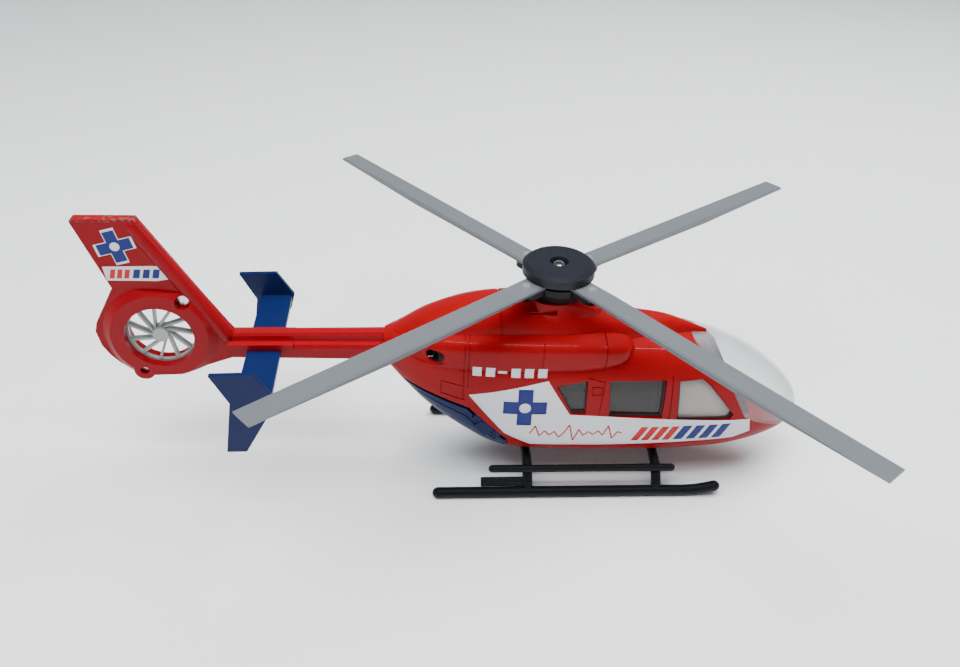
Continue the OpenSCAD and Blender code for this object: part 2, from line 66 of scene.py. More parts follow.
# ---- Table top and light
# A sheet of matt white card that runs up around the model, in a pale room. Three wide soft
# lamps light it, and one long narrow lamp is the only one that the paint mirrors.
class Tone:
    """A socket of a shader tree, so that shader maths reads as plain sums."""

    def __init__(self, tree, socket):
        self.tree, self.socket = tree, socket

    def node(self, kind, settings=None, sockets=None, out=0):
        made = self.tree.nodes.new(kind)
        for key, value in (settings or {}).items():
            setattr(made, key, value)
        for key, value in (sockets or {}).items():
            if isinstance(value, Tone):
                self.tree.links.new(value.socket, made.inputs[key])
            else:
                made.inputs[key].default_value = value
        return Tone(self.tree, made.outputs[out])

    def __add__(self, other):
        return self.node("ShaderNodeMath", {"operation": "ADD"}, {0: self, 1: other})

    def __sub__(self, other):
        return self.node("ShaderNodeMath", {"operation": "SUBTRACT"}, {0: self, 1: other})

    def __rsub__(self, other):
        return self.node("ShaderNodeMath", {"operation": "SUBTRACT"}, {0: other, 1: self})

    def __mul__(self, other):
        return self.node("ShaderNodeMath", {"operation": "MULTIPLY"}, {0: self, 1: other})

    __radd__, __rmul__ = __add__, __mul__


def surface(name, colour, rough, metal=0.0, coat=0.0, grain=0.0, grain_size=0.0004, mottle=0.06, shine=0.25):
    """A finish whose colour and roughness drift slightly over the piece, with a fine grain in its relief."""
    made = bpy.data.materials.new(name)
    made.use_nodes = True
    tree = made.node_tree
    shader = tree.nodes["Principled BSDF"]
    start = Tone(tree, None)
    place = start.node("ShaderNodeTexCoord", out=3)
    cloud = start.node("ShaderNodeTexNoise", None, {"Vector": place, "Scale": 90.0, "Detail": 3.0})
    fine = start.node("ShaderNodeTexNoise", None, {"Vector": place, "Scale": 1 / grain_size, "Detail": 2.0})
    level = cloud * (2 * mottle) + (1 - mottle)
    tint = start.node("ShaderNodeVectorMath", {"operation": "SCALE"}, {"Vector": colour, "Scale": level})
    tree.links.new(tint.socket, shader.inputs["Base Color"])
    tree.links.new((cloud * (0.4 * rough) + 0.8 * rough).socket, shader.inputs["Roughness"])
    shader.inputs["Metallic"].default_value = metal
    shader.inputs["Coat Weight"].default_value = coat
    shader.inputs["Coat Roughness"].default_value = 0.04
    shader.inputs["Specular IOR Level"].default_value = shine
    if grain:
        relief = start.node("ShaderNodeBump", None, {"Strength": grain, "Distance": 0.00005, "Height": fine})
        tree.links.new(relief.socket, shader.inputs["Normal"])
    return made


def add_mesh(name, points, faces, *finishes):
    mesh = bpy.data.meshes.new(name)
    mesh.from_pydata([tuple(p) for p in points], [], faces)
    mesh.update()
    made = bpy.data.objects.new(name, mesh)
    bpy.context.collection.objects.link(made)
    for finish in finishes:
        mesh.materials.append(finish)
    return made


sweep = [(0.9, 0), (1.15, 0.03), (1.35, 0.12), (1.5, 0.3), (1.6, 0.6), (1.65, 1.4)]
turns = 72
table_top = add_mesh(
    "table_top",
    [(r * math.cos(2 * math.pi * k / turns), r * math.sin(2 * math.pi * k / turns), z)
     for r, z in sweep for k in range(turns)],
    [tuple(range(turns))]
    + [(i * turns + k, (i + 1) * turns + k, (i + 1) * turns + (k + 1) % turns, i * turns + (k + 1) % turns)
       for i in range(len(sweep) - 1) for k in range(turns)],
    surface("white_card", (0.74, 0.755, 0.77), 0.55, mottle=0.01))
for face in table_top.data.polygons:
    face.use_smooth = True

world = bpy.data.worlds.new("room")
world.use_nodes = True
world.node_tree.nodes["Background"].inputs["Color"].default_value = (0.86, 0.9, 0.96, 1)
world.node_tree.nodes["Background"].inputs["Strength"].default_value = 0.10
bpy.context.scene.world = world
# Each lamp: name, place, length, depth, power, and whether the paint mirrors it
lamps = [
    ("window_light", (0.32, 0.22, 0.62), 0.5, 0.5, 8.0, False),
    ("ceiling_light", (-0.22, -0.12, 0.72), 0.6, 0.6, 10.5, False),
    ("tube_light", (0.05, -0.25, 0.95), 0.9, 0.05, 4.0, True),
    ("front_light", (0.1, -0.75, 0.6), 0.5, 0.5, 0.8, False)]
aim_height = 0.03
for name, place, length, depth, power, mirrored in lamps:
    lamp = bpy.data.objects.new(name, bpy.data.lights.new(name, "AREA"))
    lamp.data.shape = "RECTANGLE"
    lamp.data.size = length
    lamp.data.size_y = depth
    lamp.data.energy = power
    lamp.location = place
    lamp.visible_glossy = mirrored
    aim = Vector((0, -place[1], aim_height - place[2]))
    lamp.rotation_euler = aim.to_track_quat("-Z", "Y").to_euler()
    bpy.context.collection.objects.link(lamp)

# ---- Painted body
# The cabin and engine deck are one hollow zinc die-casting, enamelled bright red, with engraved
# panel lines and a pressed dish behind each exhaust; it is riveted to the tail and screwed to the floor.
pod_rows = [
    (-49, 4.5, 38.0, 43.2, 47.4, 2.2, 2.2), (-44, 6.6, 31.4, 41.4, 48.0, 2.3, 2.3),
    (-36, 10.0, 22.9, 36.8, 48.4, 2.4, 2.5), (-26, 13.2, 15.8, 32.0, 48.6, 2.6, 2.7),
    (-16, 15.0, 10.7, 28.0, 48.8, 2.9, 2.9), (-6, 15.6, 9.6, 26.0, 48.8, 3.2, 3.0),
    (10, 15.6, 9.2, 25.0, 48.8, 3.5, 3.0), (28, 15.6, 9.2, 24.5, 48.8, 3.5, 2.9),
    (42, 15.2, 9.2, 24.0, 47.4, 3.2, 2.6), (54, 14.2, 9.8, 22.5, 43.8, 2.9, 2.4),
    (64, 12.1, 11.4, 21.5, 38.6, 2.6, 2.2), (72, 8.9, 13.7, 21.0, 32.2, 2.4, 2.1),
    (76.6, 5.4, 16.3, 20.8, 26.7, 2.1, 2.0), (78.6, 1.4, 19.2, 20.6, 22.2, 2.0, 2.0)]
deck_rows = [
    (-49, 4.3, 41.0, 44.0, 47.2, 2.2, 2.3), (-42, 7.8, 39.0, 44.4, 49.6, 2.4, 2.7),
    (-34, 11.0, 37.0, 44.6, 51.0, 2.4, 3.2), (-24, 13.2, 36.4, 44.8, 51.6, 2.4, 3.8),
    (-10, 14.4, 36.6, 45.0, 51.8, 2.4, 4.2), (6, 14.6, 37.6, 45.2, 51.6, 2.4, 4.2),
    (15, 14.2, 39.4, 45.4, 51.0, 2.3, 3.8), (20, 12.8, 41.6, 45.8, 50.0, 2.2, 3.2),
    (22.5, 9.6, 43.6, 46.2, 48.6, 2.0, 2.6)]
wall = 1.4
canopy_line = [(41, 60), (41, 47), (45.5, 43), (51.5, 36.5), (58, 24.5), (62, 22), (74, 16.8),
               (90, 15), (90, 60)]
windows = [
    [(0.2, 37.4), (9.2, 38.9), (9.4, 27.6), (5.4, 27.6)],
    [(15.4, 38.8), (32.2, 38.8), (32.2, 26.0), (16.4, 26.4)],
    [(35.8, 38.4), (43.2, 38.6), (46.4, 35.8), (54.2, 26.0), (53.2, 24.0), (36.8, 24.6)]]
panel_lines = [
    [(-26.5, 31.5), (-26.3, 42), (-26.1, 54)], [(-25.2, 36), (-25.0, 44), (-24.9, 54)],
    [(-4.4, 42.6), (-4.2, 50.5)], [(13.6, 42.6), (13.8, 53)],
    [(-32.8, 36.9), (-26.3, 36.2), (-26.1, 31.5), (-32.7, 32.6), (-32.8, 36.9)],
    [(9.4, 39.7), (14.1, 38.6), (13.2, 26.6)], [(33.9, 39.6), (34.4, 25.6)],
    [(10.6, 37), (13.4, 37), (13.3, 34.5), (10.7, 34.5), (10.6, 37)]]
pod_sides, deck_sides = 96, 72
exhaust_at, exhaust_turn, exhaust_r, exhaust_reach = (-33.9, 9.4, 44.7), 152, 2.2, (-3, 5)
dish_at, dish_size, dish_turn = (-36.5, 10.55, 44.3), (7.2, 1.5, 3.1), 21
tray_z, tray_back = 13, -12.5
line_width, line_depth = 0.32, 0.28
pin_r, screw_r = 1.5, 0.9


def world_point(x, y, z):
    """From millimetres, with X measured from the rotor mast."""
    return Vector((mast.x + x / 1000, y / 1000, z / 1000))


def fair_rows(rows, steps=8):
    """A smooth curve through the rows."""
    made = []
    for i in range(len(rows) - 1):
        a, b, c, d = (rows[min(max(k, 0), len(rows) - 1)] for k in (i - 1, i, i + 1, i + 2))
        for j in range(steps):
            t = j / steps
            made.append([0.5 * (2 * q + (r - p) * t + (2 * p - 5 * q + 4 * r - s) * t ** 2
                                + (3 * q - p - 3 * r + s) * t ** 3) for p, q, r, s in zip(a, b, c, d)])
    return made + [list(rows[-1])]


def loft(name, rows, inset, sides, finish=None):
    """A closed skin over stations of x, half width, foot, widest height, top, lower and upper fullness."""
    rings = fair_rows(rows)
    points = []
    for x, half, low, mid, high, lower, upper in rings:
        for i in range(sides):
            a = 2 * math.pi * (i + 0.5) / sides
            s, c = math.sin(a), math.cos(a)
            e = upper if s > 0 else lower
            reach = max((high - mid if s > 0 else mid - low) - inset, 0.2)
            points.append(world_point(x, max(half - inset, 0.2) * math.copysign(abs(c) ** (2 / e), c),
                                      mid + reach * math.copysign(abs(s) ** (2 / e), s)))
    n = len(rings)
    faces = [tuple(range(sides))[::-1], tuple((n - 1) * sides + i for i in range(sides))]
    faces += [(r * sides + i, r * sides + (i + 1) % sides,
               (r + 1) * sides + (i + 1) % sides, (r + 1) * sides + i)
              for r in range(n - 1) for i in range(sides)]
    made = add_mesh(name, points, [f[::-1] for f in faces], finish)
    face_outwards(made)
    return made


def face_outwards(piece):
    """Turns every face outwards."""
    work = bmesh.new()
    work.from_mesh(piece.data)
    bmesh.ops.recalc_face_normals(work, faces=work.faces)
    work.to_mesh(piece.data)
    work.free()


def prism(line, y0=-30.0, y1=30.0, finish=None):
    """A slab between two depths, whose outline is seen from the side."""
    n = len(line)
    points = [world_point(x, y, z) for y in (y0, y1) for x, z in line]
    faces = [tuple(range(n)), tuple(range(2 * n - 1, n - 1, -1))]
    faces += [(i, (i + 1) % n, n + (i + 1) % n, n + i) for i in range(n)]
    made = add_mesh("slab", points, faces, *([finish] if finish else []))
    face_outwards(made)
    return made


def rod(a, b, radius, sides=32):
    """A round bar between two points given in millimetres."""
    start, end = world_point(*a), world_point(*b)
    turn = (end - start).to_track_quat("Z", "Y").to_matrix()
    angles = [k * 2 * math.pi / sides for k in range(sides)]
    points = [p + turn @ Vector((radius / 1000 * math.cos(a), radius / 1000 * math.sin(a), 0))
              for p in (start, end) for a in angles]
    faces = [tuple(range(sides))[::-1], tuple(range(sides, 2 * sides))]
    faces += [(k, (k + 1) % sides, sides + (k + 1) % sides, sides + k) for k in range(sides)]
    made = add_mesh("rod", points, faces)
    face_outwards(made)
    return made


def carve(piece, others, how="DIFFERENCE"):
    """Cuts, joins or crosses the piece with the others, which are used up."""
    for other in others:
        step = piece.modifiers.new("carve", "BOOLEAN")
        step.operation, step.object, step.solver = how, other, "EXACT"
    shown = piece.evaluated_get(bpy.context.evaluated_depsgraph_get())
    made = bpy.data.meshes.new_from_object(shown)
    piece.modifiers.clear()
    piece.data = made
    for other in others:
        bpy.data.objects.remove(other)
    return piece


def body_skin(inset, finish=None):
    """Cabin and engine deck as one closed skin."""
    made = loft("skin", pod_rows, inset, pod_sides, finish)
    return carve(made, [loft("deck", deck_rows, inset, deck_sides, finish)], "UNION")


def smooth(piece, angle=32):
    for face in piece.data.polygons:
        face.use_smooth = True
    piece.data.set_sharp_from_angle(angle=math.radians(angle))
    return piece


def grooves(lines, width, core):
    """Shallow cutters that follow lines seen from the side, down to the core."""
    made = None
    for line in lines:
        for (x0, z0), (x1, z1) in zip(line, line[1:]):
            along = Vector((x1 - x0, z1 - z0)).normalized() * width / 2
            side = Vector((-along.y, along.x))
            start, end = Vector((x0, z0)) - along, Vector((x1, z1)) + along
            slab = prism([start - side, end - side, end + side, start + side])
            made = carve(made, [slab], "UNION") if made else slab
    return carve(made, [core])


def both_sides(build):
    """The same cutter for both sides of the model."""
    return [build(s) for s in (-1, 1)]


def exhaust_bore(s):
    """Cutter for the hole that the exhaust stub stands in."""
    turn = math.radians(exhaust_turn)
    out = Vector((math.cos(turn), s * math.sin(turn), 0))
    middle = Vector((exhaust_at[0], s * exhaust_at[1], exhaust_at[2]))
    start, end = exhaust_reach
    return rod(middle + out * start, middle + out * end, exhaust_r)


def mast_bore():
    """Cutter for the hole that the mast pin passes through."""
    return rod((0, 0, 40), (0, 0, 70), pin_r)


def dish(s):
    """Pressed hollow that trails back from the exhaust."""
    work = bmesh.new()
    bmesh.ops.create_uvsphere(work, u_segments=48, v_segments=24, radius=0.001)
    mesh = bpy.data.meshes.new("dish")
    x, y, z = dish_at
    place = (Matrix.Translation(world_point(x, s * y, z))
             @ Matrix.Rotation(s * math.radians(dish_turn), 4, "Z"))
    bmesh.ops.transform(work, matrix=place @ Matrix.Diagonal((*dish_size, 1)), verts=work.verts)
    work.to_mesh(mesh)
    work.free()
    made = bpy.data.objects.new("dish", mesh)
    bpy.context.collection.objects.link(made)
    return made


red_enamel = surface("red_enamel", (0.22, 0.0008, 0.003), 0.45, coat=0.14, shine=0.08, grain=0.12,
                     grain_size=0.0011, mottle=0.05)
painted_body = body_skin(0, red_enamel)
carve(painted_body, [grooves(panel_lines, line_width, body_skin(line_depth))])
carve(painted_body, [body_skin(wall)])
below = [(tray_back, tray_z), (80, tray_z), (80, 0), (tray_back, 0)]
behind = [(-43.5, 33.6), (-24.6, 28.8), (tray_back, 17), (tray_back, 0), (-60, 0), (-60, 33.6)]
carve(painted_body, [prism(line) for line in [canopy_line, below, behind] + windows])
carve(painted_body, both_sides(dish))
carve(painted_body, both_sides(exhaust_bore))
carve(painted_body, [mast_bore()])
painted_body.name = "painted_body"
smooth(painted_body)
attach(painted_body, "airframe")
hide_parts("fuselage_shell")

# ---- Engine cowling
# A second red casting over the engines: a domed cowl that runs up into the oval tower under the
# rotor, with an air slot on each side and one joint line across it; it sits on the engine deck.
cowl_rows = [
    (-48, 3.0, 45.0, 46.0, 47.2, 2.0, 2.2), (-44, 4.8, 45.0, 46.5, 49.8, 2.0, 2.3),
    (-36, 7.6, 45.0, 47.0, 54.2, 2.0, 2.4), (-24, 9.2, 45.0, 47.5, 58.1, 2.0, 2.5),
    (-10, 9.6, 45.0, 47.5, 59.2, 2.0, 2.6), (4, 9.4, 45.0, 47.5, 57.6, 2.0, 2.6),
    (14, 8.2, 45.0, 47.0, 55.2, 2.0, 2.4), (24, 6.2, 44.6, 46.6, 53.4, 2.0, 2.3),
    (34, 4.2, 44.2, 46.0, 52.0, 2.0, 2.2), (46, 0.8, 43.0, 44.6, 47.4, 2.0, 2.0)]
cowl_lines = [[(-16.5, 60), (-15.4, 46)], [(-27.7, 57.6), (-33.3, 55.9), (-44.5, 53.2)]]
cowl_line_size = 0.4
cowl_sides, tower_sides, tower_foot = 64, 96, 47
# Each end of the tower: station, radius at the foot, radius at the top, and height of the top
tower_ends = [(-1, 9.4, 7.3, 59.8), (8, 7.8, 5.4, 56.5)]
intake, intake_y = [(-8, 56.7), (-0.5, 56.7), (-0.5, 58.5), (-8, 58.5)], (6.5, 9.5)


def tower(inset, finish=None):
    """Oval tower under the mast, sloping down to the nose."""
    work = bmesh.new()
    for x, r1, r2, top in tower_ends:
        for z, r in ((tower_foot, r1), (top - inset, r2)):
            for k in range(tower_sides):
                a = k * 2 * math.pi / tower_sides
                work.verts.new(world_point(x + (r - inset) * math.cos(a), (r - inset) * math.sin(a), z))
    bmesh.ops.convex_hull(work, input=work.verts)
    mesh = bpy.data.meshes.new("tower")
    work.to_mesh(mesh)
    work.free()
    made = bpy.data.objects.new("tower", mesh)
    bpy.context.collection.objects.link(made)
    if finish:
        mesh.materials.append(finish)
    return made


cowling = carve(loft("cowling", cowl_rows, 0, cowl_sides, red_enamel), [tower(0, red_enamel)], "UNION")
carve(cowling, [grooves(cowl_lines, cowl_line_size, loft("core", cowl_rows, cowl_line_size, cowl_sides))])
carve(cowling, [loft("core", cowl_rows, wall, cowl_sides), tower(wall), body_skin(0)])
carve(cowling, both_sides(exhaust_bore))
carve(cowling, both_sides(lambda s: prism(intake, s * intake_y[0], s * intake_y[1])))
carve(cowling, [mast_bore()])
smooth(cowling)
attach(cowling, "airframe")
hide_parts("engine_cowling")

# ---- Belly
# The underside is a moulded red plastic tray. It closes the casting from below and is held
# by two screws in sunk seats.
red_plastic = surface("red_plastic", (0.2, 0.002, 0.006), 0.42, coat=0.15, grain=0.1)
belly = carve(loft("belly", pod_rows, 0, pod_sides, red_plastic), [prism(below)], "INTERSECT")
carve(belly, [loft("core", pod_rows, wall, pod_sides)])
screw_x, screw_seat_z, screw_head_r = (2, 48), 10.1, 1.9
for x in screw_x:
    carve(belly, [rod((x, 0, -1), (x, 0, screw_seat_z), screw_head_r),
                  rod((x, 0, -1), (x, 0, 20), screw_r)])
smooth(belly)
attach(belly, "airframe")
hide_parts("belly_tray")

# ---- Rear doors
# Two curved shells of glossy blue plastic under the tail, each with a pressed rib and a knuckle
# that turns on a wire in the body's edge.
blue_plastic = surface("blue_plastic", (0.004, 0.010, 0.055), 0.4, coat=0.08, shine=0.12, grain=0.1)
hinge_at = (-19.07, 13.75, 22.42)
hinge_dir = Vector((0.716, 0.04, -0.698)).normalized()


def hinge_box(s, length):
    """The door's leaf of the hinge, 3 mm wide and 1 mm thick."""
    z = Vector((hinge_dir.x, s * hinge_dir.y, hinge_dir.z))
    turn = Matrix.Rotation(math.atan2(z.y, z.x), 3, "Z") @ Matrix.Rotation(math.acos(z.z), 3, "Y")
    low = -0.7 if s > 0 else -0.3
    points = [world_point(hinge_at[0], s * hinge_at[1], hinge_at[2])
              + turn @ Vector((x, y, k * length / 2)) / 1000
              for k in (-1, 1) for x, y in ((0, low), (3, low), (3, low + 1), (0, low + 1))]
    faces = [(0, 1, 2, 3), (7, 6, 5, 4), (0, 4, 5, 1), (1, 5, 6, 2), (2, 6, 7, 3), (3, 7, 4, 0)]
    made = add_mesh("leaf", points, faces, blue_plastic)
    face_outwards(made)
    return made


def hinge_rod(s, radius, length):
    """A bar along the hinge line, used for the knuckle and for the room around it."""
    along = Vector((hinge_dir.x, s * hinge_dir.y, hinge_dir.z)) * length / 2
    middle = Vector((hinge_at[0], s * hinge_at[1], hinge_at[2]))
    return rod(middle - along, middle + along, radius)


door_gap, centre_gap, door_wall = (0.6, 0.8), 0.15, 1.2
rib_width, rib_depth = 0.4, 0.25
knuckle_r, knuckle_length, knuckle_room_r, knuckle_room = 0.8, 5, 1.1, 11
door_leaf = [(x - door_gap[0], z - door_gap[1]) for x, z in behind]
door_half = [(-80, 0), (20, 0), (20, 60), (-80, 60)]
door_rib = [[(-39, 30.0), (-25.4, 25.4), (-16.4, 16.6)]]
for s, side in ((1, "left"), (-1, "right")):
    door = carve(loft("door_" + side, pod_rows, 0, pod_sides, blue_plastic), [prism(door_leaf)], "INTERSECT")
    carve(door, [prism(door_half, *sorted((s * centre_gap, s * 30)))], "INTERSECT")
    carve(door, [grooves(door_rib, rib_width, loft("core", pod_rows, rib_depth, pod_sides))])
    carve(door, [loft("core", pod_rows, door_wall, pod_sides), hinge_rod(s, knuckle_room_r, knuckle_room)])
    carve(door, [hinge_box(s, knuckle_length), hinge_rod(s, knuckle_r, knuckle_length)], "UNION")
    smooth(door)
    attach(door, "rear_door_" + side)
    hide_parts("rear_door_" + side)

# ---- Canopy
# One clear, slightly hazy plastic moulding that forms the nose and is fixed into the front
# of the casting, with a smoked arch inside its rear edge.


def clear(name, colour, thin, thick, rough):
    """See-through plastic that is nearly clear face on and closes up toward its edges."""
    made = surface(name, colour, rough, coat=0.5, mottle=0.02)
    tree = made.node_tree
    edge = Tone(tree, None).node("ShaderNodeLayerWeight", None, {"Blend": 0.45}, out=1)
    tree.links.new((edge * (thick - thin) + thin).socket, tree.nodes["Principled BSDF"].inputs["Alpha"])
    return made


clear_plastic = clear("clear_plastic", (0.40, 0.42, 0.44), 0.04, 0.5, 0.06)
canopy_wall, arch_outside, arch_inside = 0.9, 0.95, 1.5
canopy_glass = loft("canopy_glass", pod_rows, 0, pod_sides, clear_plastic)
carve(canopy_glass, [prism(canopy_line)], "INTERSECT")
carve(canopy_glass, [loft("core", pod_rows, canopy_wall, pod_sides)])
arch_finish = surface("smoked_edge", (0.07, 0.045, 0.045), 0.4)
arch_line = canopy_line[1:5] + [(x + 1.7, z + 0.8) for x, z in canopy_line[4:0:-1]]
arch = loft("canopy_arch", pod_rows, arch_outside, pod_sides, arch_finish)
carve(arch, [prism(arch_line)], "INTERSECT")
carve(arch, [loft("core", pod_rows, arch_inside, pod_sides)])
for piece in (canopy_glass, arch):
    smooth(piece)
    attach(piece, "airframe")
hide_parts("canopy")

# ---- Side windows
# A tinted band clipped inside each side wall shows through the three openings. Set back in each
# # opening is a thin dark red-brown ring, which is painted shade of the recess in the wall.
smoked_plastic = clear("smoked_plastic", (0.03, 0.024, 0.024), 0.62, 0.85, 0.1)
pale_plastic = clear("pale_plastic", (0.42, 0.40, 0.375), 0.55, 0.8, 0.12)
# Dark red-brown finish: painted shade for the recesses around the window openings
window_recess_shade = surface("window_recess_shade", (0.035, 0.02, 0.02), 0.4)
bands = [("rear", -3, 34.4, smoked_plastic), ("front", 34.6, 60, pale_plastic)]
band_foot, band_top = 22.6, 41
glass_outside, glass_inside, edge_outside = wall + 0.05, wall + 0.75, 0.9
for s, side in ((1, "left"), (-1, "right")):
    for label, x0, x1, finish in bands:
        glass = loft(label + "_window_" + side, pod_rows, glass_outside, pod_sides, finish)
        band = [(x0, band_foot), (x1, band_foot), (x1, band_top), (x0, band_top)]
        carve(glass, [prism(band, *sorted((s * 1, s * 30)))], "INTERSECT")
        carve(glass, [loft("core", pod_rows, glass_inside, pod_sides), prism(canopy_line)])
        smooth(glass)
        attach(glass, "airframe")
        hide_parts("window_band_" + side)
    for i, line in enumerate(windows):
        middle = [sum(p[k] for p in line) / len(line) for k in (0, 1)]
        inner = [(middle[0] + (x - middle[0]) * 0.93, middle[1] + (z - middle[1]) * 0.9) for x, z in line]
        # A ring of painted shade, set back inside the window's edge within the wall
        recess_shade_ring = carve(prism(line, *sorted((s * 1, s * 30)), window_recess_shade), [prism(inner)])
        carve(recess_shade_ring, [loft("core", pod_rows, edge_outside, pod_sides)], "INTERSECT")
        carve(recess_shade_ring, [loft("core", pod_rows, wall, pod_sides)])
        recess_shade_ring.name = "window_recess_shade_" + side + "_" + str(i + 1)
        smooth(recess_shade_ring)
        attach(recess_shade_ring, "airframe")

# ---- Stickers
# Printed vinyl: a white panel low on each side with a blue plus, a red pulse line and a row of
# slanted bars, white dashes above it, and a plus over a striped band on the fin.
white_vinyl = surface("white_vinyl", (0.60, 0.60, 0.64), 0.4, coat=0.1, mottle=0.02)
blue_print = surface("blue_print", (0.003, 0.011, 0.13), 0.4, coat=0.05)
red_print = surface("red_print", (0.45, 0.006, 0.008), 0.4, coat=0.05)
fine_rows = [fair_rows(pod_rows), fair_rows(deck_rows)]
film_thickness = 0.00004


def side_at(x, z):
    """Half width of the painted body at a station and a height."""
    best = 0
    for rows in fine_rows:
        for low, high in zip(rows, rows[1:]):
            if low[0] <= x <= high[0]:
                t = (x - low[0]) / (high[0] - low[0])
                _, half, foot, mid, top, lower, upper = (a + (b - a) * t for a, b in zip(low, high))
                reach, e = (top - mid, upper) if z > mid else (mid - foot, lower)
                share = min(abs(z - mid) / reach, 1)
                best = max(best, half * (1 - share ** e) ** (1 / e))
    return best


def decal(name, lines, s, lift, finish, step=1.0):
    """Thin film over the body's side, cut to outlines seen from the side."""
    work = bmesh.new()
    for line in lines:
        work.faces.new([work.verts.new((x, 0, z)) for x, z in line])
    lows = [min(p[k] for line in lines for p in line) for k in (0, 1)]
    highs = [max(p[k] for line in lines for p in line) for k in (0, 1)]
    for k, normal in ((0, (1, 0, 0)), (1, (0, 0, 1))):
        for j in range(1, int((highs[k] - lows[k]) / step) + 1):
            place = [0, 0, 0]
            place[2 * k] = lows[k] + j * step
            bmesh.ops.bisect_plane(work, geom=work.verts[:] + work.edges[:] + work.faces[:],
                                   plane_co=place, plane_no=normal)
    for vert in work.verts:
        x, _, z = vert.co
        vert.co = world_point(x, s * (side_at(x, z) + lift), z)
    bmesh.ops.recalc_face_normals(work, faces=work.faces)
    for face in work.faces:
        if face.normal.y * s < 0:
            face.normal_flip()
    mesh = bpy.data.meshes.new(name)
    work.to_mesh(mesh)
    work.free()
    mesh.materials.append(finish)
    made = bpy.data.objects.new(name, mesh)
    bpy.context.collection.objects.link(made)
    thick = made.modifiers.new("film", "SOLIDIFY")
    thick.thickness, thick.offset = film_thickness, 1
    smooth(made)
    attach(made, "airframe")
    return made


def plus(x, z, radius, tilt=0.0):
    """Outline of a plus whose arms reach the radius."""
    w = radius * 0.34
    corners = [(-w, radius), (w, radius), (w, w), (radius, w), (radius, -w), (w, -w),
               (w, -radius), (-w, -radius), (-w, -w), (-radius, -w), (-radius, w), (-w, w)]
    c, n = math.cos(tilt), math.sin(tilt)
    return [(x + a * c - b * n, z + a * n + b * c) for a, b in corners]


def disc(x, z, radius, sides=24):
    """Outline of a round spot."""
    return [(x + radius * math.cos(2 * math.pi * k / sides), z + radius * math.sin(2 * math.pi * k / sides))
            for k in range(sides)]


side_panel = [(-24.8, 33.5), (-2.3, 39.1), (4.8, 27.6), (37.8, 25.3), (59.9, 23.6), (60.8, 18.9), (55.7, 17),
              (15.1, 15.6), (-6, 15.7), (-14, 20.4)]
beats = [0.0, 3.2, -1.0, 1.2, -0.6, 0.9, -1.6, 0.4, 3.4, -3.0,
         1.6, -0.9, 0.7, -0.5, 1.0, -0.8, 3.0, -2.2, 0.6, 0.0]
pulse_x, pulse_z, beat_pitch, beat_height, half_stroke = -6.5, 20.6, 1.45, 0.95, 0.2
pulse = [(pulse_x + beat_pitch * i, pulse_z + beat * beat_height) for i, beat in enumerate(beats)]
strokes = []
for (x0, z0), (x1, z1) in zip(pulse, pulse[1:]):
    across = Vector((z0 - z1, x1 - x0)).normalized() * half_stroke
    strokes.append([(x0 - across.x, z0 - across.y), (x1 - across.x, z1 - across.y),
                    (x1 + across.x, z1 + across.y), (x0 + across.x, z0 + across.y)])


def bars(start, end, low, high, count, slant, fill=0.68):
    """A row of slanted bars, which stands for lettering."""
    pitch = (end - start) / count
    width = fill * pitch
    lefts = [start + i * pitch for i in range(count)]
    return [[(left, low), (left + width, low), (left + width + slant, high), (left + slant, high)]
            for left in lefts]


side_mark = (-8.5, 30.1)
dashes = [[(x, 40), (x + 2.6, 40), (x + 2.6, 43.2), (x, 43.2)] for x in (-24, -20.2, -13, -9.2, -5.4)]
dashes.append([(-16.8, 41.1), (-14.2, 41.1), (-14.2, 42), (-16.8, 42)])
ground_lift, print_lift, spot_lift = 0.05, 0.11, 0.17
for s, side in ((1, "left"), (-1, "right")):
    decal("side_panel_" + side, [side_panel], s, ground_lift, white_vinyl)
    decal("side_plus_" + side, [plus(*side_mark, 6.3)], s, print_lift, blue_print)
    decal("side_disc_" + side, [disc(*side_mark, 1.7)], s, spot_lift, white_vinyl)
    decal("pulse_line_" + side, strokes, s, print_lift, red_print, 0.8)
    decal("red_bars_" + side, bars(24, 36.6, 17.6, 22.8, 4, 2.6), s, print_lift, red_print)
    decal("blue_bars_" + side, bars(36.8, 52.6, 17.7, 22.9, 4, 2.6), s, print_lift, blue_print)
    decal("white_dashes_" + side, dashes, s, ground_lift, white_vinyl)

fin_face, film_root = 1.5, 0.2
fin_mark, fin_tilt = (-120.4, 74.7), 0.26
fin_panel = [(-124.8, 68.5), (-108.7, 68.8), (-106.6, 64.8), (-110.8, 64.1), (-124.2, 64.2)]
# Each mark: name, outlines, height over the fin's face, and finish
fin_marks = [
    ("fin_border", [plus(*fin_mark, 5.4, fin_tilt)], 0.08, white_vinyl),
    ("fin_plus", [plus(*fin_mark, 4.7, fin_tilt)], 0.13, blue_print),
    ("fin_disc", [disc(*fin_mark, 1.3)], 0.18, white_vinyl),
    ("fin_band", [fin_panel], 0.08, white_vinyl),
    ("fin_red_bars", bars(-123.4, -117.6, 64.9, 67.7, 3, 0.7), 0.13, red_print),
    ("fin_blue_bars", bars(-117.2, -109.4, 65.0, 67.7, 3, 0.7), 0.13, blue_print)]
for s, side in ((1, "left"), (-1, "right")):
    for name, lines, lift, finish in fin_marks:
        mark = None
        for line in lines:
            slab = prism(line, *sorted((s * (fin_face - film_root), s * (fin_face + lift))), finish)
            mark = carve(mark, [slab], "UNION") if mark else slab
        mark.name = name + "_" + side
        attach(mark, "airframe")


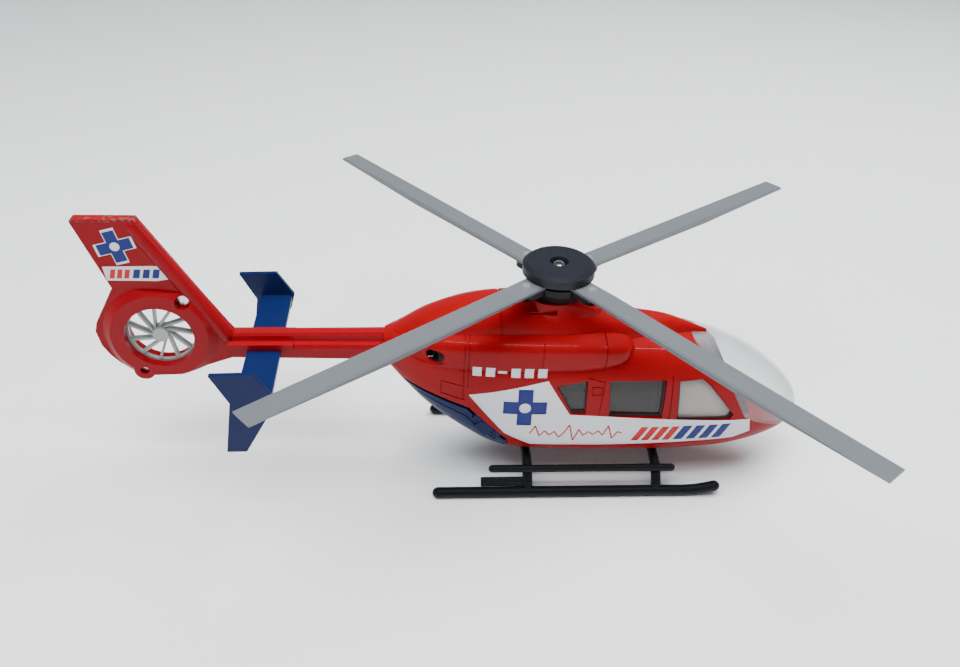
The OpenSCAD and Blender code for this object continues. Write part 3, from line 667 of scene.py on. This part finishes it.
# ---- Cabin fittings
# Floor, bulkhead, seats, bench and console are parts of one grey plastic moulding, matt from
# the mould; it stands inside the body and shows through the glass.
def dress(node, finish, bevel=0.12, angle=35):
    """Finishes a CAD piece: rounded edges, smooth curved faces and its material."""
    piece = frame["nodes"][node]
    piece.data.materials.clear()
    piece.data.materials.append(finish)
    for face in piece.data.polygons:
        face.use_smooth = True
    weld = piece.modifiers.new("weld", "WELD")
    weld.merge_threshold = 0.000004
    edge = piece.modifiers.new("edge", "BEVEL")
    edge.width, edge.segments, edge.angle_limit = bevel / 1000, 2, math.radians(angle)
    edge.limit_method = "ANGLE"
    even = piece.modifiers.new("even", "WEIGHTED_NORMAL")
    even.keep_sharp = True
    return piece


cabin_grey = surface("cabin_grey", (0.12, 0.115, 0.115), 0.6, grain=0.3)
for node in ("cabin_floor", "cabin_bulkhead", "pilot_seat_left", "pilot_seat_right",
             "instrument_console", "rear_bench"):
    dress(node, cabin_grey, 0.2)

# ---- Exhausts
# Short open stubs of bare dark metal, one on each side, pressed into holes in the rear
# quarters of the body.
dark_metal = surface("dark_metal", (0.012, 0.008, 0.008), 0.6, metal=0.3, grain=0.5)
for node in ("exhaust_left", "exhaust_right"):
    dress(node, dark_metal, 0.15)

# ---- Rotor head
# A black moulded fairing, an arm plate and a textured cap, all plastic. A domed steel rivet
# holds them to the body, and the whole rotor turns on it.
black_plastic = surface("black_plastic", (0.0025, 0.0035, 0.005), 0.46, grain=0.35, shine=0.2)
cap_plastic = surface("cap_plastic", (0.010, 0.011, 0.016), 0.55, grain=0.6, grain_size=0.0003)
steel = surface("steel", (0.62, 0.63, 0.63), 0.22, metal=1.0, grain=0.15)
dress("mast_fairing", black_plastic, 0.2)
dress("hub_plate", black_plastic, 0.2)
dress("hub_cap", cap_plastic, 0.35, 25)
dress("mast_pin", steel, 0.15)

# ---- Blades
# Four long silver-grey plastic mouldings with a fine metal flake, each held at its root by
# a small headed peg.
blade_plastic = surface("blade_plastic", (0.11, 0.122, 0.135), 0.38, metal=0.15, grain=0.3,
                        grain_size=0.00025)
blade_peg = surface("blade_peg", (0.45, 0.46, 0.46), 0.25, metal=0.7)
for node in ("blade_1", "blade_2", "blade_3", "blade_4"):
    dress(node, blade_plastic, 0.12, 12)
dress("blade_pegs", blade_peg, 0.25)

# ---- Tail
# Boom, fan ring and fin are two mirrored red castings, riveted together. The sharp top of
# the fin has lost its paint in places.
fin_paint = surface("fin_paint", (0.21, 0.001, 0.005), 0.45, coat=0.08, shine=0.12, grain=0.12,
                    grain_size=0.0011)
worn_above, worn_share, bare_casting = 0.0819, 0.56, (0.12, 0.07, 0.06, 1)
tree = fin_paint.node_tree
shader = tree.nodes["Principled BSDF"]
spot = Tone(tree, None).node("ShaderNodeTexCoord", out=3)
height = Tone(tree, None).node("ShaderNodeSeparateXYZ", None, {"Vector": spot}, out=2)
crumbs = Tone(tree, None).node("ShaderNodeTexNoise", None, {"Vector": spot, "Scale": 900.0, "Detail": 4.0})
over = {"operation": "GREATER_THAN"}
high_up = height.node("ShaderNodeMath", over, {0: height, 1: worn_above})
worn = high_up * crumbs.node("ShaderNodeMath", over, {0: crumbs, 1: worn_share})
old = Tone(tree, shader.inputs["Base Color"].links[0].from_socket)
chipped = old.node("ShaderNodeMix", {"data_type": "RGBA"}, {0: worn, 6: old, 7: bare_casting}, out=2)
tree.links.new(chipped.socket, shader.inputs["Base Color"])
for node in ("tail_half_left", "tail_half_right"):
    dress(node, fin_paint, 0.22, 28)
dress("tail_rivets", steel, 0.12)

# ---- Stabiliser
# One blue plastic moulding with an angled plate at each end, slid into the boom ahead of
# the tail fan.
dress("stabiliser", blue_plastic, 0.2)

# ---- Tail fan
# Hub, blades and rim are one grey plastic moulding, which turns with its rim in a groove
# between the tail halves.
fan_plastic = surface("fan_plastic", (0.30, 0.31, 0.31), 0.45, metal=0.2, grain=0.2)
dress("tail_fan", fan_plastic, 0.1)

# ---- Landing gear
# Skids, cross tubes, long step tubes and short rear steps, all moulded in one satin black
# plastic and carried by the cross tubes under the belly.
for node in ("skid_left", "skid_right", "cross_tube_front", "cross_tube_rear",
             "step_tube_left", "step_tube_right", "rear_step_left", "rear_step_right"):
    dress(node, black_plastic, 0.1)

# ---- Screws and hinge wires
# Two dark metal screws hold the belly tray from below. The doors' hinge lugs and wires are
# finished in the doors' blue, so that each hinge reads as part of its door.
dress("belly_screws", dark_metal, 0.08)
for node in ("door_hinges_left", "door_hinges_right"):
    dress(node, blue_plastic, 0.08)
